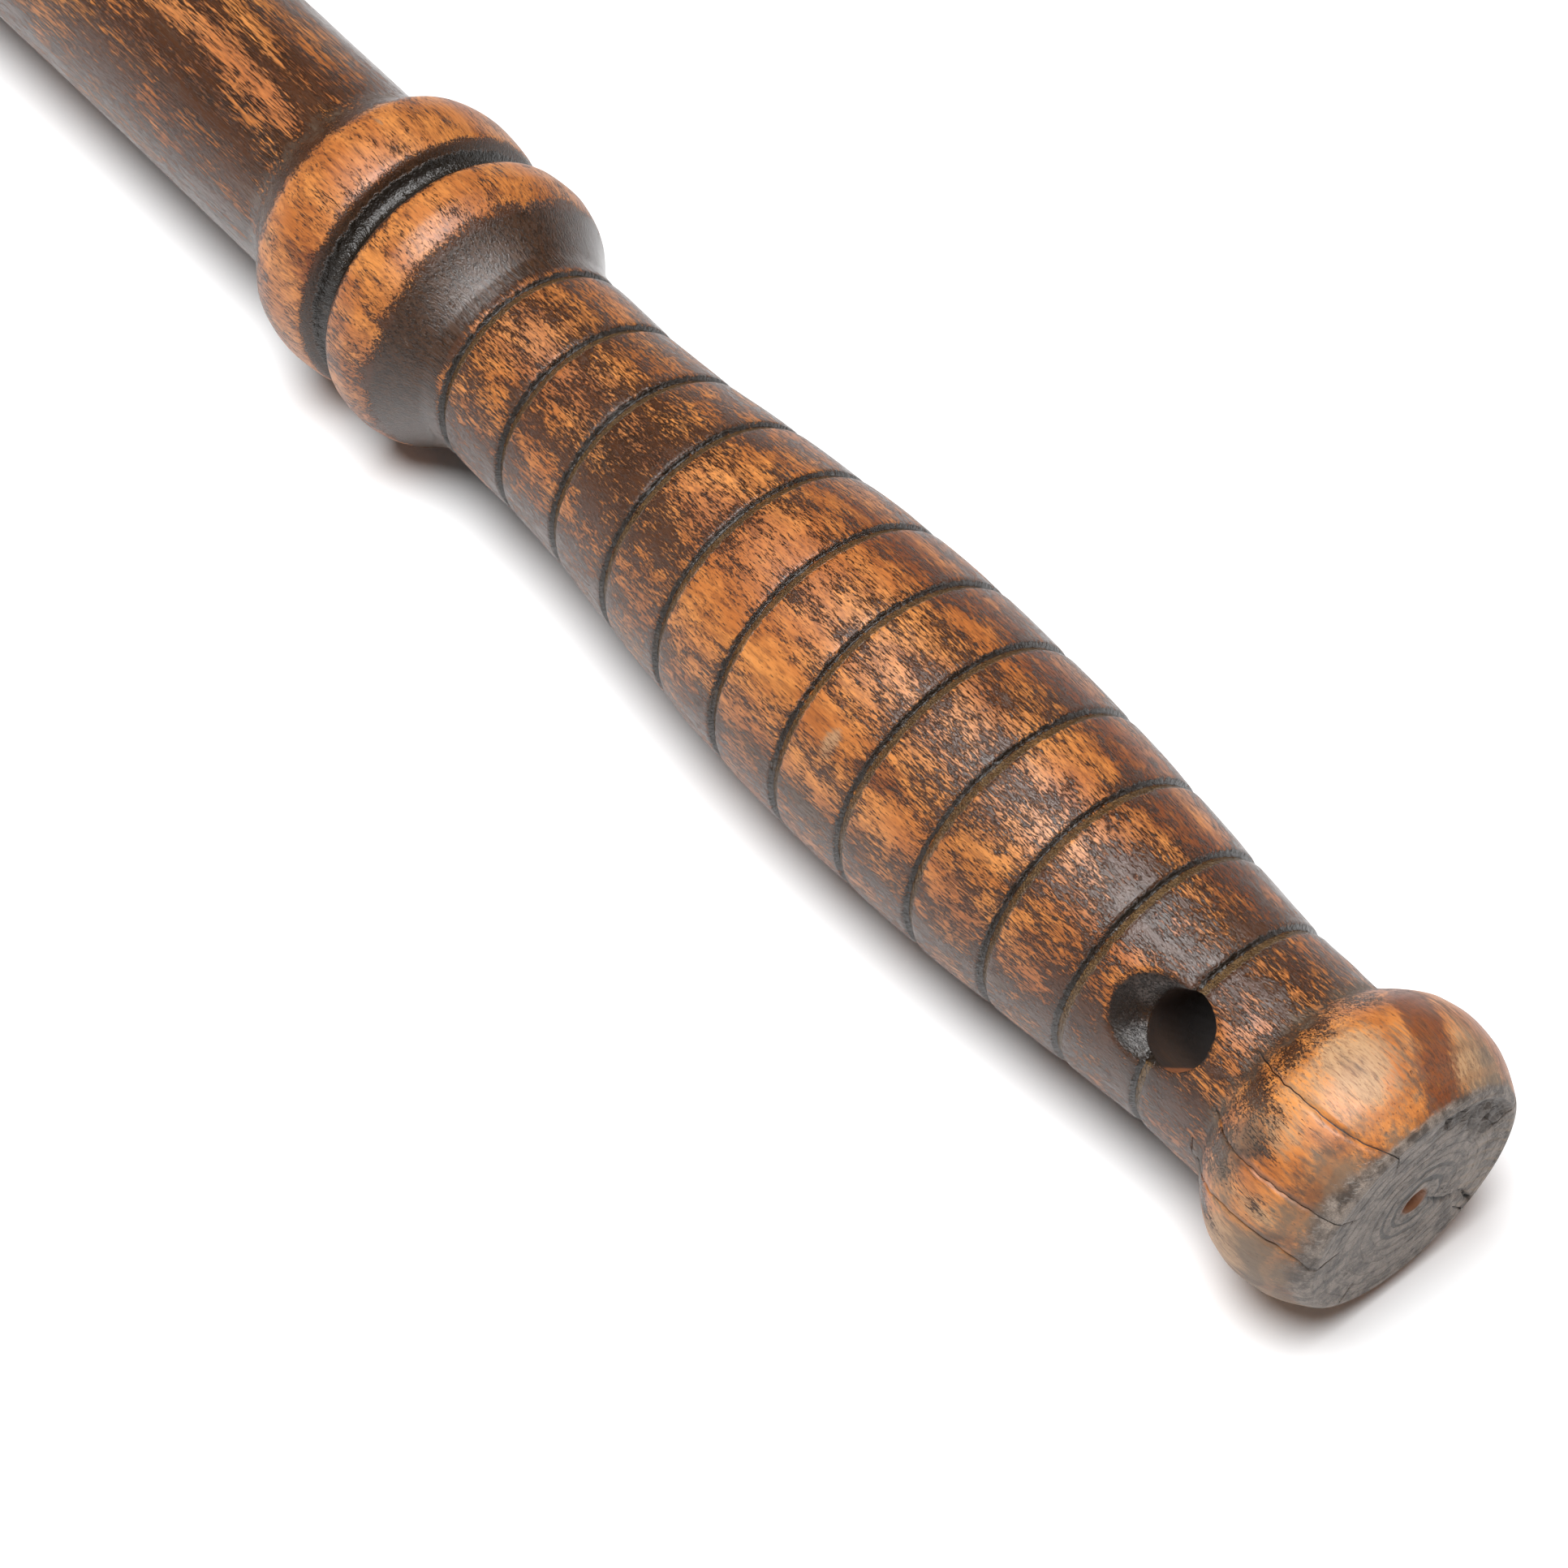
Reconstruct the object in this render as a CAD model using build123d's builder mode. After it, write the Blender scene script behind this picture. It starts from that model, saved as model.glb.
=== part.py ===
from build123d import *
import os

# A turned wooden truncheon, one piece of wood from end to end. It lies along X on
# the beads of its hand stop, knob towards +X, with Z up. The origin is on the
# surface it lies on, below the middle of its length. All sizes are in millimetres.

# Driving dimensions
TOTAL_LENGTH = 355.6  # 14 in
COLLAR_RADIUS = 19.0  # both beads of the hand stop, turned from 38 mm square stock
KNOB_RADIUS = 17.8
SWELL_RADIUS = 17.7  # the grip at its widest
NECK_RADIUS = 13.4
WAIST_RADIUS = 13.9  # the grip where it leaves the hand stop
SHAFT_RADIUS = 14.2  # the shaft at the hand stop
HEAD_RADIUS = 16.5  # the shaft at its far, striking end

# Places along the turning axis, measured from the knob's flat end
KNOB_CREST = 8.7
KNOB_BACK = 16.9
KNOB_FILLET = 0.7  # the hollow where the knob's back meets the neck
NECK_END = 24.0
STRAP_HOLE_PLACE = 26.4
SWELL_PLACE = 84.0
GRIP_END = 151.0
COLLAR_NEAR_CREST = 162.5
COLLAR_FAR_CREST = 177.5
SHAFT_START = 190.0

# The ring grooves of the grip: the gap between two grooves grows towards the collar
GROOVE_COUNT = 12
FIRST_GROOVE = 27.3
GROOVE_PITCH = 10.8
PITCH_GROWTH = 0.055
GROOVE_WIDTH = 1.7
GROOVE_DEPTH = 0.7
GROOVE_LIP = 0.35  # the worn rounding of each groove's two edges

# The knob's flat end and the cone that the lathe centre left in each end
FACE_RADIUS = 14.0
CENTRE_RADIUS = 1.6
CENTRE_PIN_RADIUS = 0.5
CENTRE_DEPTH = 3.0
CENTRE_ANGLE = 60.0

# The strap hole runs right through and leans this far from upright
STRAP_HOLE_RADIUS = 4.3
STRAP_HOLE_LEAN = 45.0

# The cove that parts the two beads of the hand stop
COVE_DEPTH = 3.4
COVE_NEAR_EDGE = 167.2
COVE_FAR_EDGE = 171.8

HEAD_DOME = 9.0  # how far the domed striking end reaches along the axis

KNOB_END = TOTAL_LENGTH / 2
AXIS_HEIGHT = COLLAR_RADIUS

# In this plane x is the distance from the knob's flat end and y is the radius
SECTION = Plane(origin=(KNOB_END, 0, AXIS_HEIGHT), x_dir=(-1, 0, 0), z_dir=(0, 1, 0))
TURNING_AXIS = Axis((0, 0, AXIS_HEIGHT), (1, 0, 0))


def groove_places():
    """Distances of the grip's grooves from the knob's flat end."""
    place = FIRST_GROOVE
    places = []
    for index in range(GROOVE_COUNT):
        places.append(place)
        place += GROOVE_PITCH + PITCH_GROWTH * index
    return places


def radius_at(curve, place):
    """The radius of an outline curve at a distance from the knob's flat end."""
    upright = Edge.make_line((place, 0), (place, 2 * COLLAR_RADIUS))
    return curve.edge().find_intersection_points(upright)[0].Y


def is_groove_lip(corner):
    """Whether a corner of the half section is one of the two upper corners of a groove."""
    offsets = [abs(KNOB_END - corner.X - place) for place in groove_places()]
    return GROOVE_LIP < min(offsets) < GROOVE_WIDTH


def half_outline():
    """Draws the outline from the knob's flat end to the striking end and returns the grip's curve."""
    Line((0, 0), (0, FACE_RADIUS))
    Spline((0, FACE_RADIUS), (2.1, 15.9), (KNOB_CREST, KNOB_RADIUS), tangents=((0.35, 1), (1, 0)))
    Spline(
        (KNOB_CREST, KNOB_RADIUS),
        (13.7, 16.45),
        (KNOB_BACK, NECK_RADIUS + KNOB_FILLET),
        tangents=((1, 0), (0.5, -1)),
    )
    neck_start = KNOB_BACK + KNOB_FILLET
    Spline((KNOB_BACK, NECK_RADIUS + KNOB_FILLET), (neck_start, NECK_RADIUS), tangents=((0.5, -1), (1, 0)))
    Line((neck_start, NECK_RADIUS), (NECK_END, NECK_RADIUS))
    grip = Spline(
        (NECK_END, NECK_RADIUS),
        (42.0, 15.1),
        (SWELL_PLACE, SWELL_RADIUS),
        (108.0, 16.3),
        (125.0, 14.55),
        (138.0, WAIST_RADIUS),
        (GRIP_END, WAIST_RADIUS),
    )
    # The flare and the near bead of the hand stop
    Spline(
        (GRIP_END, WAIST_RADIUS),
        (154.3, 14.9),
        (158.2, 17.3),
        (COLLAR_NEAR_CREST, COLLAR_RADIUS),
        tangents=((1, 0), (1, 0)),
    )
    cove_rim = COLLAR_RADIUS - 1.0
    Spline(
        (COLLAR_NEAR_CREST, COLLAR_RADIUS),
        (165.6, COLLAR_RADIUS - 0.25),
        (COVE_NEAR_EDGE, cove_rim),
        tangents=((1, 0), (0.5, -1)),
    )
    ThreePointArc(
        (COVE_NEAR_EDGE, cove_rim),
        ((COVE_NEAR_EDGE + COVE_FAR_EDGE) / 2, COLLAR_RADIUS - COVE_DEPTH),
        (COVE_FAR_EDGE, cove_rim),
    )
    # The far bead, rounded down to the shaft
    Spline(
        (COVE_FAR_EDGE, cove_rim),
        (173.6, COLLAR_RADIUS - 0.4),
        (COLLAR_FAR_CREST, COLLAR_RADIUS),
        tangents=((0.6, 1), (1, 0)),
    )
    Spline(
        (COLLAR_FAR_CREST, COLLAR_RADIUS),
        (181.2, 18.4),
        (185.2, 16.1),
        (SHAFT_START, SHAFT_RADIUS),
        tangents=((1, 0), (1, -0.05)),
    )
    head_start = TOTAL_LENGTH - HEAD_DOME
    Line((SHAFT_START, SHAFT_RADIUS), (head_start, HEAD_RADIUS))
    Spline((head_start, HEAD_RADIUS), (TOTAL_LENGTH, 0), tangents=((1, 0), (0, -1)))
    Line((TOTAL_LENGTH, 0), (0, 0))
    return grip


with BuildPart() as turned_body:
    with BuildSketch(SECTION) as half_section:
        with BuildLine():
            grip_curve = half_outline()
        make_face()
        with Locations(*[(place, radius_at(grip_curve, place)) for place in groove_places()]):
            Polygon(
                (0, -GROOVE_DEPTH),
                (GROOVE_WIDTH, GROOVE_DEPTH),
                (-GROOVE_WIDTH, GROOVE_DEPTH),
                align=None,
                mode=Mode.SUBTRACT,
            )
        fillet(half_section.vertices().filter_by(is_groove_lip), radius=GROOVE_LIP)
    revolve(axis=TURNING_AXIS)

    strap_hole_plane = Plane(
        (KNOB_END - STRAP_HOLE_PLACE, 0, AXIS_HEIGHT), x_dir=(1, 0, 0), z_dir=(0, 0, 1)
    ).rotated((STRAP_HOLE_LEAN, 0, 0))
    with Locations(strap_hole_plane):
        Hole(STRAP_HOLE_RADIUS)

    for end, outward in ((KNOB_END, 1), (KNOB_END - TOTAL_LENGTH, -1)):
        with Locations(Plane((end, 0, AXIS_HEIGHT), x_dir=(0, 1, 0), z_dir=(outward, 0, 0))):
            CounterSinkHole(CENTRE_PIN_RADIUS, CENTRE_RADIUS, CENTRE_DEPTH, CENTRE_ANGLE)

turned_body.part.label = "turned_body"
os.makedirs("parts", exist_ok=True)
export_step(turned_body.part, "parts/turned_body.step")
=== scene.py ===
import math

import bmesh
import bpy
import numpy as np
from mathutils import Matrix, Vector, noise


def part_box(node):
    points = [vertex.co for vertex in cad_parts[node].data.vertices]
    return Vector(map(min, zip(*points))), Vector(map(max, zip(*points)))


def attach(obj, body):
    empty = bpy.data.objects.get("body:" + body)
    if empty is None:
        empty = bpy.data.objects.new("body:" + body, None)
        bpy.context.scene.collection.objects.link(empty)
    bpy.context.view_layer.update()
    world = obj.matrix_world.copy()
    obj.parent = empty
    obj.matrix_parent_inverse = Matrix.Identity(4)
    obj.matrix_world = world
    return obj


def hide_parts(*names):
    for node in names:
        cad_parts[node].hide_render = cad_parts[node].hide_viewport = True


# The looks of the turned wooden truncheon. Sizes here are in millimetres and are
# measured like the drawing's: "place" is the distance from the knob's flat end
# along the turning axis, and "turn" is the angle round it, from straight up
# towards -Y. Only the finished mesh, the relief, the floor and the lights are in metres.

MM = 0.001
SEED = 11

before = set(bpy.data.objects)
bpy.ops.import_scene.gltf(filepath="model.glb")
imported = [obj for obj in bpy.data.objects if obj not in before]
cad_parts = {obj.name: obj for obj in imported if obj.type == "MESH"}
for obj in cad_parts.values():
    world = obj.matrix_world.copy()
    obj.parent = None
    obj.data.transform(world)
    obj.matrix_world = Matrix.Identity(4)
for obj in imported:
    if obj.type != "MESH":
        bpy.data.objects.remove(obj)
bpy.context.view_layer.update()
body_low, body_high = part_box("turned_body")

KNOB_END = body_high.x / MM
AXIS_HEIGHT = (body_low.z + body_high.z) / 2 / MM
TOTAL_LENGTH = (body_high.x - body_low.x) / MM

# Where the knob and the hand stop's near bead are widest, which is what lies on the floor
KNOB_CREST = 8.7
KNOB_RADIUS = 17.8
BEAD_CREST = 162.5
BEAD_RADIUS = 19.0

# The flat end, the start of the neck, the grip, and the start of the far end's dome
FACE_RADIUS = 14.0
NECK_START = 18.6
NECK_RADIUS = 13.5  # near the strap hole
GRIP_MIDDLE = 90
GRIP_END = 151.0
HEAD_START = 346.6
HEAD_RADIUS = 16.5
MEAN_RADIUS = 15.0  # of the whole stick, which scales the noise round it

# The turned outline as (place, radius), followed smoothly from point to point
OUTLINE = (
    (0.0, FACE_RADIUS), (0.4, 14.75), (1.1, 15.3), (2.1, 15.95), (3.7, 16.8), (5.4, 17.4),
    (KNOB_CREST, KNOB_RADIUS), (12.0, 17.2), (13.7, 16.4), (15.3, 15.3), (16.8, 14.05), (17.5, 13.5),
    (NECK_START, 13.4), (24.0, 13.4), (30.0, 13.75), (42.0, 15.1), (63.0, 17.0), (84.0, 17.7),
    (96.0, 17.35), (108.0, 16.3), (117.0, 15.5), (125.0, 14.6), (138.0, 13.9), (150.0, 13.9),
    (152.4, 14.2), (154.3, 15.0), (156.2, 16.1), (158.2, 17.5), (159.0, 18.05), (159.8, 18.4),
    (161.0, 18.75), (BEAD_CREST, BEAD_RADIUS), (165.4, 18.8), (166.9, 18.2), (167.6, 17.2), (168.4, 16.0),
    (169.5, 15.6), (170.6, 16.0), (171.4, 17.2), (172.0, 18.1), (173.2, 18.6), (177.5, BEAD_RADIUS),
    (181.2, 18.4), (183.4, 17.2), (185.2, 16.0), (187.5, 14.7), (190.0, 14.2),
    (HEAD_START, HEAD_RADIUS),
)  # fmt: skip

# The ring grooves of the grip, and the section of one as (distance past its bottom,
# share of its depth): they are steeper on the hand stop's side
GROOVE_COUNT = 12
FIRST_GROOVE = 27.3
GROOVE_PITCH = 10.8
PITCH_GROWTH = 0.055
GROOVE_DEPTH = 0.58
GROOVE_SECTION = (
    (-1.3, 0.0), (-1.0, 0.1), (-0.1, 0.9), (0.12, 1.0), (0.32, 0.92), (0.5, 0.14), (0.85, 0.0),
)  # fmt: skip
BAND_CROWN = 0.09

# How fast the grain's pattern runs along the stick: (place, pattern's place). It is
# drawn out on the hand stop's flare and on the shaft
GRAIN_COURSE = (
    (0.0, 0.0), (150.0, 150.0), (161.0, 153.3), (180.0, 168.0), (190.0, 173.0), (356.0, 248.0),
)  # fmt: skip

# The strap hole, and the dish that the strap has worn into its mouth
HOLE_PLACE = 26.4
HOLE_TURN = math.radians(45)
HOLE_RADIUS = 4.3
DISH_SHIFT = 3.0
DISH_SINK = 1.0
DISH_RADIUS = 5.0
DISH_DEPTH = 3.0
LIP_WEAR = 0.28
FAR_DISH = 0.7  # how deep the far mouth is worn, as a share of the near one
DISH_LAYOUT_RADIUS = 14.0  # of the cylinder that the dish is laid out on

# The marks on the knob's flat end
CENTRE_RADIUS = 1.6  # of the lathe centre's cone
CENTRE_DEPTH = 2.6
SPLIT_TURN = math.radians(-131)  # where the open radial split runs
TEAR_TURN = math.radians(-38)  # where the torn patch is
PITH = (0.6, -0.3)  # where the growth rings' centre is, from the turning axis, along Y and Z
RING_TURNS = 4.2  # radians of ring pattern for each millimetre from the pith

# The grid of the mesh: the knob and neck are finer than the rest. Each mouth of the
# strap hole has its own rings, in a window that the grid leaves free
FINE_COLUMNS = 288
COARSE_COLUMNS = 144
FINE_END = 36.4
WINDOW_START = 19.0
WINDOW_HALF_COLUMNS = 30
MOUTH_RINGS = 22
MOUTH_CROWDING = 1.25  # above 1, the rings lie closer together at the hole
BORE_RINGS = 16
GROOVE_ROWS = (-1.55, -1.25, -1.0, -0.75, -0.45, -0.2, 0.0, 0.14, 0.3, 0.46, 0.64, 0.85, 1.15)
BAND_ROWS = 7
HEAD_ROWS = 16
FACE_REACHES = (
    13.85, 13.6, 13.3, 12.9, 12.4, 11.8, 11.2, 10.5, 9.8, 9.0, 8.2, 7.4, 6.6, 5.8, 5.0, 4.2,
    3.5, 2.9, 2.4, 2.0, CENTRE_RADIUS + 0.12, CENTRE_RADIUS, 1.3, 0.95, 0.6, 0.35,
)  # fmt: skip

# The drying cracks of the knob: the column that follows each, its (place, turn in
# degrees) from the neck to the flat end, its depth and half its width
CRACKS = (
    (24, ((18.4, 27.0), (14.1, 29.0), (9.4, 28.6), (5.3, 27.5), (2.2, 24.2), (0.0, 19.5)), 0.9, 0.15),
    (46, ((18.0, 59.5), (15.1, 59.3), (8.9, 57.1), (4.8, 56.2), (0.0, 56.5)), 0.6, 0.11),
    (
        64,
        ((18.4, 93.0), (15.2, 84.5), (13.0, 80.5), (9.0, 76.6), (4.0, 76.3), (1.5, 79.5), (0.0, 84.0)),
        1.0, 0.17,
    ),
    (112, ((17.5, 141.0), (10.0, 139.0), (0.0, 140.5)), 0.5, 0.1),
    (176, ((18.0, 222.0), (12.0, 219.0), (5.0, 221.0), (0.0, 220.0)), 0.7, 0.13),
    (232, ((16.0, 288.0), (9.0, 291.0), (0.0, 289.5)), 0.5, 0.1),
)  # fmt: skip
CRACK_REACH = math.radians(12)  # how far to each side a crack pulls the grid with it

# How much of the dark old finish is left along the stick: (place, share)
FINISH_COURSE = (
    (0, -0.3), (12, -0.12), (15.5, 0.5), (18, 0.68), (30, 0.62), (45, 0.55),
    (75, 0.5), (88, 0.42), (100, 0.46), (118, 0.58), (135, 0.55), (150, 0.58),
    (151.3, 1.4), (157.3, 1.3), (159.5, 0.28), (166, 0.28), (167.5, 1.3), (171.5, 1.3),
    (172.6, 0.26), (181, 0.28), (184, 1.0), (192, 0.7), (230, 0.64), (356, 0.6),
)  # fmt: skip

# Soft oval patches on the round surface: (place, turn in degrees, length, width in
# degrees, amount). The knob's are those up to place 18. The one at place 76.4 is the
# grip's pale chip, which stays free of grey. Those that go all round are the dirt in
# the hollows behind the knob and behind the far bead
ALL_ROUND = 400
FINISH_PATCHES = (
    (121, 28, 6, 34, 0.28), (110, 45, 5, 12, 0.2), (132, 30, 5, 22, 0.1), (92, 47, 9, 9, -0.42),
    (78, 47, 6, 8, -0.42), (97, 8, 9, 14, -0.14), (54, -2, 6, 9, -0.3), (48, -42, 5, 10, -0.3),
    (36, 16, 9, 15, 0.4), (29, 70, 12, 14, 0.35), (24, -2, 6, 24, 0.15), (21.5, 30, 4, 8, -0.14),
    (60, 20, 7, 12, 0.22), (66, 62, 16, 8, -0.15), (44, 72, 10, 9, -0.15), (208, 22, 30, 5, -0.05),
    (200, 45, 16, 14, 0.2), (14, 20, 2.5, 26, 0.3), (11, 38, 4.5, 7, 0.52), (9.5, 50, 3, 6, 0.62),
    (12, 66, 4, 7, 0.6), (6.5, 68, 3, 6, 0.6), (12, 90, 4, 7, 0.6), (70, 200, 30, 50, -0.2),
    (250, 180, 60, 60, -0.15),
)  # fmt: skip
RED_PATCHES = (
    (37, -22, 12, 14, 0.85), (62, -30, 16, 12, 0.7), (23, -18, 4, 16, 0.45), (69, 50, 3.5, 6, 0.6),
    (14, 62, 3, 14, 0.45), (172, 62, 3, 16, 0.5), (90, -22, 14, 11, 0.6), (120, 210, 40, 30, 0.5),
)  # fmt: skip
PALE_PATCHES = (
    (8.5, 6, 4.5, 15, 0.7), (2.5, -34, 3.8, 19, 0.95), (9, 44, 3, 7, 0.5), (9, 94, 5, 12, 0.8),
    (7, 68, 2.5, 4, 0.5), (9, 170, 8, 40, 0.6), (6, 112, 6, 24, 0.5), (76.4, 52, 1.0, 6.5, 1.5),
    (180.3, 63, 1.3, 3, 0.7), (179, 0, 1.2, 3, 0.5), (50, -44, 3, 6, 0.35), (57, 8, 4, 7, 0.3),
)  # fmt: skip
GREY_AND_SHEEN_PATCHES = (
    (17.3, 60, 1.5, ALL_ROUND, 0.8), (12, 52, 2.5, 9, 0.7), (6, 84, 3, 8, 0.7), (13, 70, 3, 9, 0.6),
    # The patch at place 85, turn 80 is painted sheen: the white floor's reflection along the grip's lower
    # flank
    (6, 108, 4, 10, 0.5), (3, 130, 4, 25, 0.4), (4, -42, 6, 12, 0.35), (85, 80, 45, 13, 0.42),
    (187, 0, 3, ALL_ROUND, 0.5), (76.4, 52, 1.6, 9, -0.8),
)  # fmt: skip

# Colours of the bare wood
ORANGE_DEEP = (0.37, 0.113, 0.022, 1)
ORANGE_BRIGHT = (0.55, 0.21, 0.049, 1)
ORANGE_RING = (0.24, 0.072, 0.015, 1)
ORANGE_DARK_STREAK = (0.16, 0.048, 0.012, 1)
ORANGE_LIGHT_STREAK = (0.56, 0.25, 0.078, 1)
ORANGE_PORE = (0.05, 0.018, 0.007, 1)
STRAW = (0.38, 0.235, 0.122, 1)
STRAW_RING = (0.25, 0.118, 0.048, 1)
STRAW_STREAK = (0.27, 0.115, 0.042, 1)
STRAW_FLECK = (0.17, 0.062, 0.022, 1)
STRAW_PORE = (0.12, 0.045, 0.018, 1)
FRESH_WOOD = (0.26, 0.1, 0.038, 1)

# Colours of the flat end's old end grain
SILVER_DARK = (0.048, 0.033, 0.024, 1)
SILVER_LIGHT = (0.25, 0.2, 0.163, 1)
SILVER_FLECK = (0.06, 0.045, 0.036, 1)
SILVER_TORN = (0.035, 0.027, 0.022, 1)
SILVER_RING = (0.026, 0.021, 0.017, 1)
SILVER_SCRATCH = (0.34, 0.3, 0.262, 1)
TOOL_CUT = (0.26, 0.19, 0.13, 1)

# Colours of the stain, the finish and the dirt, and the painted shade in the grooves and cracks
STAIN_RED = (0.14, 0.032, 0.01, 1)
STAIN_DARK = (0.045, 0.012, 0.006, 1)
FINISH_WASH = (0.105, 0.03, 0.008, 1)
FINISH_DARK = (0.02, 0.009, 0.004, 1)
FINISH_BROWN = (0.05, 0.0175, 0.0065, 1)
THICK_FINISH_DARK = (0.01, 0.0055, 0.0028, 1)
THICK_FINISH_BROWN = (0.04, 0.018, 0.008, 1)
DIRT_DARK = (0.04, 0.022, 0.009, 1)
DIRT_OLIVE = (0.17, 0.1, 0.042, 1)
# Black dirt in the grooves and tar in the cove, also painted shade on the grooves' bottom and steep wall
SOOT_AND_SHADE = (0.009, 0.006, 0.0035, 1)
# Grey of weathering and dirt, also the painted sheen along the grip's lower flank
GREY_DARK = (0.055, 0.035, 0.022, 1)
GREY_LIGHT = (0.115, 0.08, 0.052, 1)
RUBBED_BLACK = (0.005, 0.0035, 0.0025, 1)
RUBBED_BROWN = (0.016, 0.009, 0.005, 1)
RUST = (0.24, 0.075, 0.02, 1)
# Painted shade: near-black inside the knob's cracks and the flat end's open split
PAINTED_CRACK_SHADE = (0.008, 0.005, 0.004, 1)
PAPER_WHITE = (0.86, 0.86, 0.865, 1)

# Roughness of each kind of surface
WOOD_ROUGHNESS = 0.42
FINISH_ROUGHNESS = 0.16
PALE_ROUGHNESS = 0.56
GREY_ROUGHNESS = 0.6
END_ROUGHNESS = 0.55
DIRT_ROUGHNESS = 0.12
MOUTH_ROUGHNESS = 0.27
BORE_ROUGHNESS = 0.75
PAPER_ROUGHNESS = 0.75

# Height of each kind of relief, in metres
GRAIN_RELIEF = 0.00002
PIT_RELIEF = 0.0001
CRUST_RELIEF = 0.00028
END_RELIEF = 0.00015

# The floor's side in metres, and how bright the white room round it is
FLOOR_SIZE = 5.0
ROOM_STRENGTH = 0.12


def smooth(value, low, high):
    """0 below low, 1 above high and a smooth step between them."""
    t = np.clip((np.asarray(value, float) - low) / (high - low), 0, 1)
    return t * t * (3 - 2 * t)


def follow(points, where):
    """A smooth curve through the points that never overshoots them."""
    x, y = np.array(points, float).T
    step = np.diff(x)
    slope = np.diff(y) / step
    inner = np.zeros(len(x))
    same = slope[1:] * slope[:-1] > 0
    after = 2 * step[1:] + step[:-1]
    before = step[1:] + 2 * step[:-1]
    with np.errstate(divide="ignore", invalid="ignore"):
        harmonic = (after + before) / (after / slope[:-1] + before / slope[1:])
    inner[1:-1] = np.where(same, harmonic, 0)
    inner[0], inner[-1] = slope[0], slope[-1]
    i = np.clip(np.searchsorted(x, where) - 1, 0, len(step) - 1)
    t = (where - x[i]) / step[i]
    return (
        (1 + 2 * t) * (1 - t) ** 2 * y[i]
        + t * (1 - t) ** 2 * step[i] * inner[i]
        + t * t * (3 - 2 * t) * y[i + 1]
        + t * t * (t - 1) * step[i] * inner[i + 1]
    )


def grain_noise(place, turn, along, across, offset=0.0):
    """Noise on the round surface from -1 to 1, with features this long and this wide."""
    place, turn = np.broadcast_arrays(np.asarray(place, float), np.asarray(turn, float))
    around = MEAN_RADIUS / across
    values = [
        noise.noise(Vector((p / along + offset, around * math.cos(a), around * math.sin(a) + SEED)))
        for p, a in zip(place.ravel(), turn.ravel())
    ]
    return np.array(values).reshape(place.shape)


def groove_places():
    """Places of the grip's grooves."""
    gaps = GROOVE_PITCH + PITCH_GROWTH * np.arange(GROOVE_COUNT - 1)
    return FIRST_GROOVE + np.concatenate([[0.0], np.cumsum(gaps)])


GROOVES = groove_places()
ALONG_HOLE = np.array([0.0, -math.sin(HOLE_TURN), math.cos(HOLE_TURN)])
ACROSS_HOLE = np.array([0.0, -math.cos(HOLE_TURN), -math.sin(HOLE_TURN)])
RUST_SIDE = (ACROSS_HOLE + (1.0, 0.0, 0.0)) / math.sqrt(2)  # the reddish side of the hole's wall


def from_groove(place, turn):
    """How far a point is past the bottom of the nearest groove, which wanders a little."""
    wander = 0.1 * np.sin(turn + 0.7) + 0.07 * np.sin(3 * turn + place * 0.4)
    gaps = np.asarray(place)[..., None] - GROOVES - np.asarray(wander)[..., None]
    nearest = np.argmin(np.abs(gaps), axis=-1)
    return np.take_along_axis(gaps, nearest[..., None], axis=-1)[..., 0]


def dish(place, turn, hole_turn):
    """How much lower the worn mouth of the strap hole lies than the round surface."""
    away = place - HOLE_PLACE
    side = DISH_LAYOUT_RADIUS * np.sin(turn - hole_turn)
    facing = smooth(np.cos(turn - hole_turn), 0.3, 0.5)
    reach = np.hypot(away - DISH_SHIFT, side - DISH_SINK) / DISH_RADIUS
    worn = DISH_DEPTH * smooth(1.06 - reach, 0, 1.0) ** 0.8
    lip = LIP_WEAR * np.exp(-np.abs(np.hypot(away, side) - HOLE_RADIUS) / 0.45)
    return facing * (worn + lip)


def radius(place, turn):
    """The worn wood's radius at these places and turns."""
    place, turn = np.broadcast_arrays(np.asarray(place, float), np.asarray(turn, float))
    body = follow(OUTLINE, np.minimum(place, HEAD_START))
    into_head = np.clip((place - HEAD_START) / (TOTAL_LENGTH - HEAD_START), 0, 1)
    body = np.where(place > HEAD_START, HEAD_RADIUS * np.sqrt(1 - into_head**2), body)
    gap = from_groove(place, turn)
    on_grip = smooth(place, 20, 22) * (1 - smooth(place, 151.5, 153))
    depth = GROOVE_DEPTH * (1 + 0.22 * np.sin(2 * turn + place) * np.cos(turn - 1.1))
    cut = depth * np.interp(gap, *np.array(GROOVE_SECTION).T)
    half_band = GROOVE_PITCH / 2
    crown = BAND_CROWN * np.clip(1 - (np.abs(np.abs(gap) - half_band) / half_band) ** 2, 0, 1)
    worn = dish(place, turn, HOLE_TURN) + FAR_DISH * dish(place, turn, HOLE_TURN + math.pi)
    return body - on_grip * (cut - crown) - worn


def roughen(place, turn):
    """Small hand-made unevenness of the round surface."""
    swell = grain_noise(place, turn, 26, 14)
    ripple = grain_noise(place, turn, 5, 3.2, 40.0)
    fine = grain_noise(place, turn, 2.6, 0.9, 80.0)
    calm = smooth(place, 0, 4) * (1 - smooth(place, TOTAL_LENGTH - 8, TOTAL_LENGTH))
    return calm * (0.09 * swell + 0.035 * ripple + 0.018 * fine)


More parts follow.
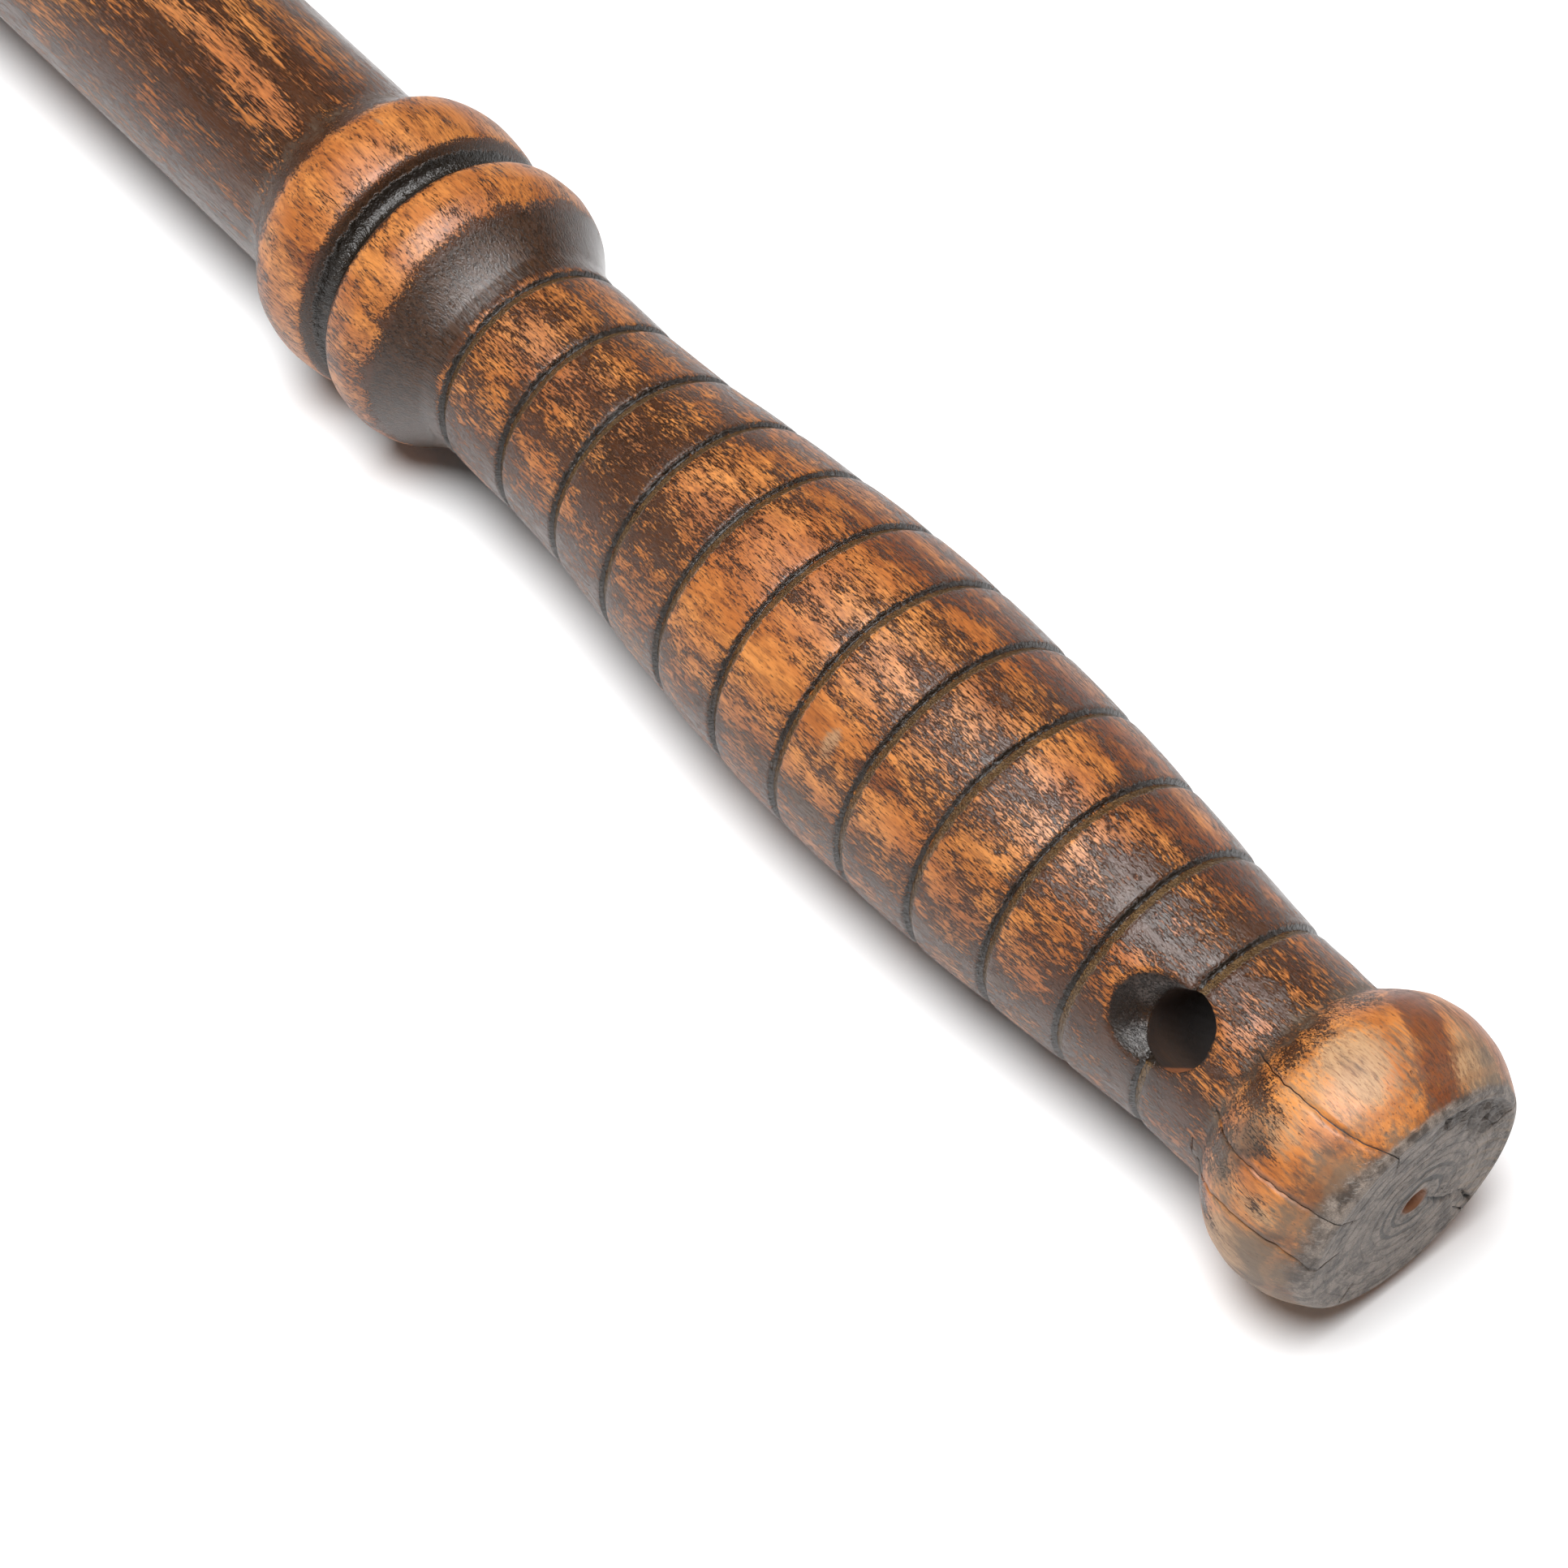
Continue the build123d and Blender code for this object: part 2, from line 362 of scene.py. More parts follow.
class Skin:
    """Collects the mesh: points with place, turn, kind and crack share, and the faces between them."""

    OUTSIDE, END, BORE = 0, 1, 2

    def __init__(self):
        self.points = []
        self.places = []
        self.turns = []
        self.kinds = []
        self.cracks = []
        self.faces = []
        self.count = 0

    def add(self, points, place, turn, kind, crack=0.0):
        """Adds points and returns their numbers."""
        amount = len(points)
        self.points.append(points)
        self.places.append(np.broadcast_to(place, amount))
        self.turns.append(np.broadcast_to(turn, amount))
        self.kinds.append(np.full(amount, kind))
        self.cracks.append(np.broadcast_to(crack, amount))
        self.count += amount
        return np.arange(self.count - amount, self.count)

    def join(self, first, second, skip=None):
        """Faces between two closed rings; the second has as many points or half as many."""
        amount = len(second)
        share = len(first) // amount
        for j in range(amount):
            if skip is not None and skip[j]:
                continue
            after = (j + 1) % amount
            corners = [first[(j * share + k) % len(first)] for k in range(share + 1)]
            self.faces.append([*corners, second[after], second[j]])


def on_axis(place, turn, reach):
    """Points of the object, in millimetres of its frame."""
    place, turn, reach = np.broadcast_arrays(place, turn, reach)
    return np.stack([KNOB_END - place, -reach * np.sin(turn), AXIS_HEIGHT + reach * np.cos(turn)], axis=-1)


def row_places():
    """Places of the rings, closest together where the outline turns or is cut."""
    knob = np.concatenate([[0.0], np.geomspace(0.08, 2.2, 13), np.arange(2.55, NECK_START, 0.34)])
    neck = np.arange(WINDOW_START, FINE_END + 0.1, 0.45)
    neck = neck[np.abs(neck - GROOVES[0]) > 1.7]
    grooves = np.concatenate([groove + np.array(GROOVE_ROWS) for groove in GROOVES])
    bands = [
        np.linspace(before + GROOVE_ROWS[-1], after + GROOVE_ROWS[0], BAND_ROWS)[1:-1]
        for before, after in zip(GROOVES[1:-1], GROOVES[2:])
    ]
    flare = np.arange(150.7, 158.4, 0.42)
    near_bead = np.arange(158.5, 167, 0.36)
    cove = np.arange(167, 173, 0.24)
    far_bead = np.arange(173.2, 190.5, 0.42)
    shaft = np.arange(194.0, HEAD_START, 4.2)
    head = HEAD_START + (TOTAL_LENGTH - HEAD_START) * np.sin(np.linspace(0, math.pi / 2, HEAD_ROWS))
    parts = [knob, neck, grooves, *bands, flare, near_bead, cove, far_bead, shaft, head]
    places = np.unique(np.round(np.concatenate(parts), 3))
    return places[:-1]


def crack_course(place):
    """For each crack at this place: its column, how far that moves round, its depth and half width."""
    courses = []
    for column, course, depth, half_width in CRACKS:
        from_face = course[::-1]
        end = from_face[-1][0]
        turn = math.radians(float(follow(from_face, np.clip(place, 0, end))))
        wobble = 0.012 * noise.noise(Vector((place * 0.9, column, SEED)))
        home = 2 * math.pi * column / FINE_COLUMNS
        keep = 1 - float(smooth(place, end - 0.5, end + 0.6)) if place <= end + 0.6 else 0.0
        shift = (turn - home + wobble) * (1 - float(smooth(place, end, WINDOW_START - 0.1)))
        ragged = 0.75 + 0.5 * noise.noise(Vector((place * 1.7, SEED, column)))
        courses.append((column, shift, depth * keep * ragged, half_width * keep))
    return courses


def fine_row(place):
    """Turns, inward cuts and crack shares of one fine ring."""
    home = 2 * math.pi * np.arange(FINE_COLUMNS) / FINE_COLUMNS
    turn = home.copy()
    cut = np.zeros(FINE_COLUMNS)
    crack = np.zeros(FINE_COLUMNS)
    around = float(follow(OUTLINE, np.array([place]))[0])
    for column, shift, depth, half_width in crack_course(place):
        away = (home - home[column] + math.pi) % (2 * math.pi) - math.pi
        turn += shift * (1 - smooth(np.abs(away), 0, CRACK_REACH))
        if depth > 0.01:
            for side in (-1, 1):
                neighbour = (column + side) % FINE_COLUMNS
                turn[neighbour] = turn[column] + side * half_width / around
            cut[column] = depth
            crack[column] = 1.0
    return turn, cut, crack


def build_outside(skin):
    """Rings from the knob's flat end to the far end, with a window left at each hole mouth."""
    places = row_places()
    window = [p for p in places if WINDOW_START <= p <= FINE_END]
    middle = [round(FINE_COLUMNS * t / (2 * math.pi)) for t in (HOLE_TURN, HOLE_TURN + math.pi)]
    rings, windows = [], [[], []]
    for place in places:
        fine = place <= window[-1]
        if fine:
            turn, cut, crack = fine_row(place)
        else:
            turn = 2 * math.pi * np.arange(COARSE_COLUMNS) / COARSE_COLUMNS
            cut, crack = 0.0, 0.0
        reach = radius(place, turn) + roughen(place, turn) - cut
        ring = skin.add(on_axis(place, turn, reach), place, turn, Skin.OUTSIDE, crack)
        if rings:
            skip = None
            if fine and place > window[0]:
                skip = np.zeros(FINE_COLUMNS, bool)
                for m in middle:
                    skip[m - WINDOW_HALF_COLUMNS : m + WINDOW_HALF_COLUMNS] = True
            skin.join(rings[-1], ring, skip)
        rings.append(ring)
        if place in window:
            for side, m in enumerate(middle):
                windows[side].append(ring[m - WINDOW_HALF_COLUMNS : m + WINDOW_HALF_COLUMNS + 1])
    # The last ring closes on one point at the tip
    tip = skin.add(on_axis(np.array([TOTAL_LENGTH]), 0.0, 0.0), TOTAL_LENGTH, 0.0, Skin.OUTSIDE)
    last = rings[-1]
    skin.faces += [[last[j], last[(j + 1) % len(last)], tip[0]] for j in range(len(last))]
    return rings[0], [np.array(w) for w in windows]


def edge_of(window):
    """The window's edge as one closed loop of point numbers."""
    return np.concatenate([window[0, :-1], window[:-1, -1], window[-1, :0:-1], window[:0:-1, 0]])


def build_mouth(skin, window, hole_turn):
    """Fills the window round one mouth of the hole and returns the ring of its edge."""
    edge = edge_of(window)
    place = np.concatenate(skin.places)[edge]
    turn = np.concatenate(skin.turns)[edge]
    away = place - HOLE_PLACE
    side = radius(place, turn) * np.sin(turn - hole_turn)
    angle = np.arctan2(side, away)
    outer = np.hypot(side, away)
    ring = edge
    for step in range(1, MOUTH_RINGS + 1):
        share = (1 - step / MOUTH_RINGS) ** MOUTH_CROWDING
        distance = HOLE_RADIUS + (outer - HOLE_RADIUS) * share
        ragged = 0.06 * np.sin(3 * angle + 0.5) + 0.05 * np.sin(7 * angle)
        distance = distance + ragged * (1 - share) * (distance / HOLE_RADIUS < 1.6)
        place = HOLE_PLACE + distance * np.cos(angle)
        side = distance * np.sin(angle)
        # The turn and the radius depend on each other, and agree after a few rounds
        reach = NECK_RADIUS
        for _ in range(5):
            turn = hole_turn + np.arcsin(np.clip(side / reach, -1, 1))
            reach = radius(place, turn)
        reach = reach + roughen(place, turn)
        made = skin.add(on_axis(place, turn, reach), place, turn, Skin.OUTSIDE)
        skin.join(ring, made)
        ring = made
    return ring


def build_bore(skin, near, far):
    """The wall of the hole, from the edge of one mouth to the edge of the other."""
    points = np.concatenate(skin.points)
    start, end = points[near], points[far]
    angle = np.linspace(0, 2 * math.pi, len(near), endpoint=False)
    ring = near
    for step in range(1, BORE_RINGS):
        share = (1 - math.cos(math.pi * step / BORE_RINGS)) / 2
        wall = start + (end - start) * share
        centre = wall.mean(axis=0)
        score = 1 + 0.012 * np.sin(23 * angle + 2 * step) * math.sin(math.pi * share)
        wall = centre + (wall - centre) * score[:, None]
        made = skin.add(wall, HOLE_PLACE, HOLE_TURN, Skin.BORE)
        skin.join(ring, made)
        ring = made
    skin.join(ring, far)


def face_split(reach, turn):
    """The open radial split of the flat end: 1 along its line."""
    away = turn - SPLIT_TURN - 0.05 * np.sin(reach * 0.8)
    line = np.exp(-((reach * np.sin(away) / 0.24) ** 2)) * (np.cos(away) > 0)
    return line * smooth(reach, 1.8, 4)


def face_cuts(y, z):
    """The short slanting tool cuts at one side of the flat end: 1 along each line."""
    across = 0.59 * y + 0.81 * z
    line = np.exp(-(((across + 0.25 * np.sin(y)) % 1.5 - 0.75) ** 2) / 0.02)
    return line * smooth(y, 6.0, 8.5) * smooth(z, -11, -8) * (1 - smooth(z, 1.5, 5))


def face_tear(reach, turn):
    """The torn patch near the top of the flat end: 1 inside it."""
    outer = smooth(reach + 0.8 * np.sin(5 * turn), 8.8, 11.2)
    return outer * smooth(np.cos(turn - TEAR_TURN), 0.78, 0.93)


def face_height(reach, turn):
    """How far the flat end's weather-worn surface lies behind its plane."""
    y, z = -reach * np.sin(turn), reach * np.cos(turn)
    rings = np.hypot(y - PITH[0], z - PITH[1])
    wobble = np.array([noise.noise(Vector((a * 0.35, b * 0.35, SEED))) for a, b in zip(y, z)])
    crumb = np.array([noise.noise(Vector((a * 1.3, b * 1.3, SEED))) for a, b in zip(y, z)])
    ridge = 0.08 * np.sin(rings * RING_TURNS + 2.2 * wobble) * (1 - smooth(rings, 7, 10))
    torn = face_tear(reach, turn) * (0.4 + 0.6 * crumb)
    flat = 0.08 + ridge + torn + 0.05 * crumb + 0.12 * face_cuts(y, z)
    return flat * smooth(FACE_RADIUS - reach, 0.0, 1.0) + 0.6 * face_split(reach, turn)


def build_face(skin, rim):
    """The flat end from its rim in to the mark of the lathe centre."""
    turn = np.concatenate(skin.turns)[rim]
    crack = np.concatenate(skin.cracks)[rim]
    ring, previous = rim, len(rim)
    for reach in FACE_REACHES:
        # Towards the middle every other column is left out, twice
        if reach < 11 and previous == FINE_COLUMNS or reach < 4.5 and previous == COARSE_COLUMNS:
            turn, crack = turn[::2], crack[::2]
        previous = len(turn)
        even = 2 * math.pi * np.arange(previous) / previous
        mixed = even + (turn - even) * smooth(reach, 8, 13.5)
        height = face_height(np.full(previous, reach), mixed)
        height = height + 0.8 * crack * smooth(reach, 10.5, 13.8)
        if reach <= CENTRE_RADIUS:
            height = height + CENTRE_DEPTH * (1 - reach / CENTRE_RADIUS) ** 0.8
        points = on_axis(height, mixed, np.full(previous, reach))
        made = skin.add(points, 0.0, mixed, Skin.END, crack * (reach > 11.5))
        skin.join(ring, made)
        ring = made
    deepest = skin.add(on_axis(np.array([CENTRE_DEPTH + 0.2]), 0.0, 0.0), 0.0, 0.0, Skin.END)
    skin.faces += [[ring[j], ring[(j + 1) % len(ring)], deepest[0]] for j in range(len(ring))]


def patch(place, turn, middle, degrees, length, width):
    """A soft oval patch on the round surface: 1 in its middle, 0 far outside."""
    away = (place - middle) / length
    side = (np.degrees(turn) - degrees + 180) % 360 - 180
    return np.exp(-(away**2) - (side / width) ** 2)


def patches(place, turn, table):
    """All the patches of one table together."""
    return sum(amount * patch(place, turn, *where) for *where, amount in table)


def finish_left(place, turn):
    """The share of the dark old finish that is left on the wood."""
    left = np.interp(place, *np.array(FINISH_COURSE).T)
    gap = np.abs(from_groove(place, turn))
    on_grip = smooth(place, 20, 24) * (1 - smooth(place, 149, 151))
    left = left + 0.2 * on_grip * np.exp(-((gap / 1.5) ** 2))
    underside = smooth(-np.cos(turn - math.radians(15)), -0.72, -0.3)
    left = left + 0.2 * underside * smooth(place, 20, 30)
    return left + patches(place, turn, FINISH_PATCHES)


def stain_left(place, turn):
    """The share of the old red-brown stain that shows: a band across the knob, and patches."""
    red = 0.28 * smooth(place, 20, 40) + patches(place, turn, RED_PATCHES)
    course = np.degrees(turn) + 7.0 + 1.75 * place
    course = (course + 180) % 360 - 180
    band = smooth(course, -16, -2) * (1 - smooth(course, 2, 14)) * (1 - smooth(place, 13, 16))
    return np.clip(red + 1.25 * band, 0, 1.5)


def bare_pale(place, turn):
    """The share of fresh pale wood: the knob's worn crown, chips and scuffs."""
    pale = 0.2 * (1 - smooth(place, 11, 15)) + patches(place, turn, PALE_PATCHES)
    return np.clip(pale, 0, 1.4)


def weathered_and_sheen(place, turn):
    """The share of grey, weather-worn wood and settled dirt on the round surface, and of painted sheen: grey
    along the grip's lower flank, where the white floor reflects.
    """
    grey = patches(place, turn, GREY_AND_SHEEN_PATCHES)
    grey = grey + 0.27 * (1 - smooth(place, 13, 16)) + 0.35 * (1 - smooth(place, 0.3, 2.5))
    front = 1 - smooth(place, 2.5, 7.5)
    grey = grey + front * smooth(np.cos(turn - math.radians(80)), 0.55, 0.85)
    return np.clip(grey, 0, 1)


def round_values(place, turn):
    """The finish values that only the round surface has."""
    gap = from_groove(place, turn)
    on_grip = (place > 20) & (place < GRIP_END)
    tar = smooth(place, 166.6, 168.2) * (1 - smooth(place, 170.9, 172.0))
    worn_mouth = np.maximum(dish(place, turn, HOLE_TURN), dish(place, turn, HOLE_TURN + math.pi))
    return {
        "stain_left": stain_left(place, turn),
        "bare_pale": bare_pale(place, turn),
        "weathered_and_sheen": weathered_and_sheen(place, turn),
        # The black's place: the grooves' bottom and steep wall, where it is partly painted shade, and the
        # cove's tar
        "groove_floor": np.where(on_grip, np.clip(1 - np.abs(gap - 0.3) / 0.7, 0, 1), tar),
        "groove_slope": np.where(on_grip, np.clip(1 - np.abs(gap + 0.45) / 0.95, 0, 1), 0.0),
        "worn_mouth": np.clip(worn_mouth / 0.7, 0, 1),
    }


def end_values(reach, turn):
    """The finish values that only the flat end has."""
    return {
        "ringed": 0.9 - 0.8 * smooth(reach, 4.5, 7),
        "torn": face_tear(reach, turn),
        "cuts": face_cuts(-reach * np.sin(turn), reach * np.cos(turn)),
        "fresh": 1 - smooth(reach, CENTRE_RADIUS - 0.3, CENTRE_RADIUS + 0.5),
    }


def finish_values(points, place, turn, kind, crack):
    """Every value that the material reads, for each point."""
    outside, end, bore = kind == Skin.OUTSIDE, kind == Skin.END, kind == Skin.BORE
    reach = np.hypot(points[:, 1], points[:, 2] - AXIS_HEIGHT)
    values = {key: np.where(outside, value, 0.0) for key, value in round_values(place, turn).items()}
    values |= {key: np.where(end, value, 0.0) for key, value in end_values(reach, turn).items()}
    values["grain_place"] = np.interp(place, *np.array(GRAIN_COURSE).T)
    values["finish_left"] = np.where(outside, finish_left(place, turn), 0.2)
    values["crack"] = np.maximum(crack, end * face_split(reach, turn))

    # The grey of the end grain creeps over the rim, furthest where the knob is most worn
    creep = 1 + 1.6 * smooth(np.cos(turn - math.radians(76)), 0.5, 0.95)
    rim_grain = 1 - smooth(place / creep, 0.1, 1.4)
    values["end_grain"] = np.where(end, 1.0, rim_grain) * ~bore

    centred = points - (KNOB_END - HOLE_PLACE, 0.0, AXIS_HEIGHT)
    rust = smooth(centred @ RUST_SIDE, 3.2, 4.1) * smooth(centred @ ALONG_HOLE, 2.0, 6.0)
    values["rust"] = bore * rust
    values["bore"] = bore.astype(float)
    values["mouth"] = np.maximum(values.pop("worn_mouth"), values["bore"])
    return values


def build_truncheon():
    """The whole stick as one closed mesh with the values that its finish reads."""
    skin = Skin()
    rim, windows = build_outside(skin)
    near, far = [build_mouth(skin, w, t) for w, t in zip(windows, (HOLE_TURN, HOLE_TURN + math.pi))]
    # The two mouths' points run in different orders, so each is given its partner across the hole
    points = np.concatenate(skin.points)
    far = far[match_rings(points[near], points[far])]
    build_bore(skin, near, far)
    build_face(skin, rim)
    points = np.concatenate(skin.points)
    place, turn = np.concatenate(skin.places), np.concatenate(skin.turns)
    kind, crack = np.concatenate(skin.kinds), np.concatenate(skin.cracks)
    return make_object("truncheon", points, skin.faces, finish_values(points, place, turn, kind, crack))


def match_rings(first, second):
    """The order of the second ring's points that puts each opposite its partner across the hole."""
    flat_first = first - np.outer(first @ ALONG_HOLE, ALONG_HOLE)
    flat_second = second - np.outer(second @ ALONG_HOLE, ALONG_HOLE)
    return np.array([int(np.argmin(((flat_second - p) ** 2).sum(axis=1))) for p in flat_first])


def make_object(name, points, faces, values):
    """A smooth mesh object in metres, without the points that no face uses."""
    used = np.unique(np.concatenate([np.asarray(f) for f in faces]))
    number = np.full(len(points), -1)
    number[used] = np.arange(len(used))
    mesh = bpy.data.meshes.new(name)
    mesh.from_pydata((points[used] * MM).tolist(), [], [number[np.asarray(f)].tolist() for f in faces])
    for key, value in values.items():
        attribute = mesh.attributes.new(key, "FLOAT", "POINT")
        attribute.data.foreach_set("value", np.ascontiguousarray(value[used], dtype=np.float32))
    shell = bmesh.new()
    shell.from_mesh(mesh)
    bmesh.ops.recalc_face_normals(shell, faces=shell.faces)
    shell.to_mesh(mesh)
    shell.free()
    mesh.shade_smooth()
    made = bpy.data.objects.new(name, mesh)
    bpy.context.scene.collection.objects.link(made)
    return made


class Graph:
    """Short ways to make the nodes of a material."""

    def __init__(self, material):
        self.tree = material.node_tree
        self.tree.nodes.clear()

    def new(self, kind, **settings):
        node = self.tree.nodes.new(kind)
        for key, value in settings.items():
            setattr(node, key, value)
        return node

    def feed(self, socket, value):
        if isinstance(value, bpy.types.NodeSocket):
            self.tree.links.new(value, socket)
        elif value is not None:
            socket.default_value = value

    def math(self, operation, a, b=None, c=None):
        node = self.new("ShaderNodeMath", operation=operation)
        for socket, value in zip(node.inputs, (a, b, c)):
            self.feed(socket, value)
        return node.outputs[0]

    def times(self, a, b):
        return self.math("MULTIPLY", a, b)

    def plus(self, *parts):
        total = parts[0]
        for part in parts[1:]:
            total = self.math("ADD", total, part)
        return total

    def swing(self, value, span):
        """A value from 0 to 1, spread evenly about 0 over this span."""
        return self.math("MULTIPLY_ADD", value, span, -span / 2)

    def mix(self, share, a, b, blend="MIX"):
        node = self.new("ShaderNodeMix", data_type="RGBA", blend_type=blend)
        self.feed(node.inputs["Factor"], share)
        self.feed(node.inputs["A"], a)
        self.feed(node.inputs["B"], b)
        return node.outputs["Result"]

    def step(self, value, low, high, to_low=0.0, to_high=1.0):
        node = self.new("ShaderNodeMapRange", interpolation_type="SMOOTHSTEP")
        for socket, number in zip(node.inputs, (value, low, high, to_low, to_high)):
            self.feed(socket, number)
        return node.outputs[0]

    def stretch(self, vector, scale):
        node = self.new("ShaderNodeVectorMath", operation="MULTIPLY")
        self.feed(node.inputs[0], vector)
        self.feed(node.inputs[1], scale)
        return node.outputs[0]

    def noise(self, vector, scale, detail, rough):
        node = self.new("ShaderNodeTexNoise")
        self.feed(node.inputs["Vector"], self.stretch(vector, scale))
        self.feed(node.inputs["Scale"], 1.0)
        self.feed(node.inputs["Detail"], detail)
        self.feed(node.inputs["Roughness"], rough)
        return node.outputs["Fac"]

    def value(self, name):
        return self.new("ShaderNodeAttribute", attribute_name=name).outputs["Fac"]

    def bump(self, height, distance, normal=None):
        node = self.new("ShaderNodeBump")
        self.feed(node.inputs["Strength"], 1.0)
        self.feed(node.inputs["Distance"], distance)
        self.feed(node.inputs["Height"], height)
        self.feed(node.inputs["Normal"], normal)
        return node.outputs[0]

    def shader(self, specular):
        """The surface shader, joined to the material's output."""
        shader = self.new("ShaderNodeBsdfPrincipled")
        shader.inputs["Specular IOR Level"].default_value = specular
        output = self.new("ShaderNodeOutputMaterial")
        self.feed(output.inputs["Surface"], shader.outputs[0])
        return shader


def grey_value(amount):
    """A roughness as the grey that the mixing nodes take."""
    return (amount, amount, amount, 1)


def ring_lines(g, mm):
    """Growth rings round the pith: 1 on the dark line of each, 0 between them."""
    centred = g.new("ShaderNodeVectorMath", operation="SUBTRACT")
    g.feed(centred.inputs[0], mm)
    g.feed(centred.inputs[1], (0.0, PITH[0], AXIS_HEIGHT + PITH[1]))
    length = g.new("ShaderNodeVectorMath", operation="LENGTH")
    g.feed(length.inputs[0], g.stretch(centred.outputs[0], (0.012, 1.0, 1.0)))
    sway = g.noise(mm, (0.03, 0.13, 0.13), 3, 0.6)
    turns = g.math("MULTIPLY_ADD", sway, 9.0, g.math("MULTIPLY", length.outputs["Value"], RING_TURNS))
    return g.step(g.math("SINE", turns), 0.1, 0.95)


def grain_space(g, mm):
    """Where the grain's pattern is, with X drawn out along the flare and the shaft."""
    across = g.new("ShaderNodeSeparateXYZ")
    g.feed(across.inputs[0], mm)
    grain = g.new("ShaderNodeCombineXYZ")
    for socket, part in zip(grain.inputs, (g.value("grain_place"), across.outputs["Y"], across.outputs["Z"])):
        g.feed(socket, part)
    return grain.outputs[0]


class Patterns:
    """The patterns that the wood, its finish and its dirt share."""

    def __init__(self, g):
        where = g.new("ShaderNodeTexCoord").outputs["Object"]
        mm = g.stretch(where, (1 / MM, 1 / MM, 1 / MM))
        self.rings = ring_lines(g, mm)
        self.where = grain_space(g, mm)
        self.blotch = g.noise(self.where, (0.07, 0.16, 0.16), 4, 0.6)
        self.streak = g.noise(self.where, (0.3, 2.1, 2.1), 5, 0.68)
        self.pores = g.step(g.noise(self.where, (0.8, 4.6, 4.6), 2, 0.5), 0.58, 0.7, 0.0, 0.6)
        self.cluster = g.noise(self.where, (0.13, 0.3, 0.3), 7, 0.7)
        self.fleck = g.noise(self.where, (0.5, 3.6, 3.6), 8, 0.8)
        self.fine_fleck = g.noise(self.where, (1.5, 8.0, 8.0), 4, 0.7)
        self.crust = g.noise(self.where, (1.1, 1.5, 1.5), 3, 0.6)
        self.pits = g.noise(self.where, (1.7, 4.2, 4.2), 3, 0.7)


def orange_wood(g, p):
    """Worn orange wood with darker rings, streaks and pores."""
    colour = g.mix(g.step(p.blotch, 0.35, 0.66), ORANGE_DEEP, ORANGE_BRIGHT)
    colour = g.mix(g.times(p.rings, 0.3), colour, ORANGE_RING)
    colour = g.mix(g.step(p.streak, 0.42, 0.68, 0.0, 0.62), colour, ORANGE_DARK_STREAK)
    colour = g.mix(g.step(p.streak, 0.3, 0.42, 0.35, 0.0), colour, ORANGE_LIGHT_STREAK)
    return g.mix(p.pores, colour, ORANGE_PORE)


def pale_wood(g, p, colour):
    """Straw-coloured wood where nothing is left on it; also returns its share."""
    edge = g.plus(g.value("bare_pale"), g.swing(p.streak, 1.6), g.swing(p.blotch, 1.7), g.swing(p.fleck, 1.4))
    pale = g.step(edge, 0.25, 0.85)
    straw = g.mix(g.times(p.rings, 0.5), STRAW, STRAW_RING)
    straw = g.mix(g.step(p.streak, 0.45, 0.7, 0.0, 0.5), straw, STRAW_STREAK)
    straw = g.mix(g.step(p.fleck, 0.5, 0.62, 0.0, 0.55), straw, STRAW_FLECK)
    straw = g.mix(p.pores, straw, STRAW_PORE)
    return g.mix(g.times(pale, 0.9), colour, straw), pale


def red_stain(g, p, colour):
    """Red stain with mottled edges."""
    edge = g.plus(g.value("stain_left"), g.swing(p.streak, 1.6), g.swing(p.cluster, 1.6))
    shade = g.mix(g.step(p.fleck, 0.42, 0.6), STAIN_RED, STAIN_DARK)
    return g.mix(g.times(g.step(edge, 0.2, 0.95), 0.85), colour, shade)


def dark_finish(g, p, colour):
    """The old dark finish, a thin wash and dense flecks along the grain; also returns the flecks' share."""
    left = g.value("finish_left")
    depth_left = g.plus(left, g.swing(p.cluster, 2.0), g.swing(p.fleck, 3.2), g.swing(p.fine_fleck, 2.0))
    wash = g.step(depth_left, 0.25, 0.62)
    dark = g.step(depth_left, 0.58, 0.78)
    thin = g.mix(g.step(p.cluster, 0.4, 0.62), FINISH_DARK, FINISH_BROWN)
    thick = g.mix(g.step(p.streak, 0.4, 0.62), THICK_FINISH_DARK, THICK_FINISH_BROWN)
    shade = g.mix(g.step(left, 0.9, 1.2), thin, thick)
    colour = g.mix(g.times(wash, 0.7), colour, FINISH_WASH)
    return g.mix(g.times(dark, 0.94), colour, shade), dark


def groove_dirt_and_shade(g, p, colour):
    """Soot and hardened dirt in the grooves, with chipped edges; the black on the grooves' bottom and steep
    wall is partly painted shade. Also returns where either is.
    """
    chip = g.swing(p.crust, 0.9)
    soot_and_shade = g.step(g.plus(g.value("groove_floor"), chip), 0.55, 0.8)
    slope = g.step(g.plus(g.value("groove_slope"), chip), 0.3, 0.55)
    olive = g.mix(g.step(p.fine_fleck, 0.4, 0.62), DIRT_DARK, DIRT_OLIVE)
    colour = g.mix(g.times(slope, 0.85), colour, olive)
    # Black on the grooves' bottom and steep wall: dirt and painted shade
    return g.mix(g.times(soot_and_shade, 0.96), colour, SOOT_AND_SHADE), soot_and_shade, slope


def grey_weathering_and_sheen(g, p, colour):
    """Grey weathering and settled dirt, and painted sheen: grey where the white floor reflects along the
    grip's lower flank; also returns its share.
    """
    edge = g.plus(g.value("weathered_and_sheen"), g.swing(p.cluster, 1.9), g.swing(p.streak, 1.3))
    grey = g.times(g.step(edge, 0.15, 0.95), g.math("MULTIPLY_ADD", p.rings, -0.25, 0.85))
    shade = g.mix(g.step(p.blotch, 0.4, 0.6), GREY_DARK, GREY_LIGHT)
    return g.mix(grey, colour, shade), grey


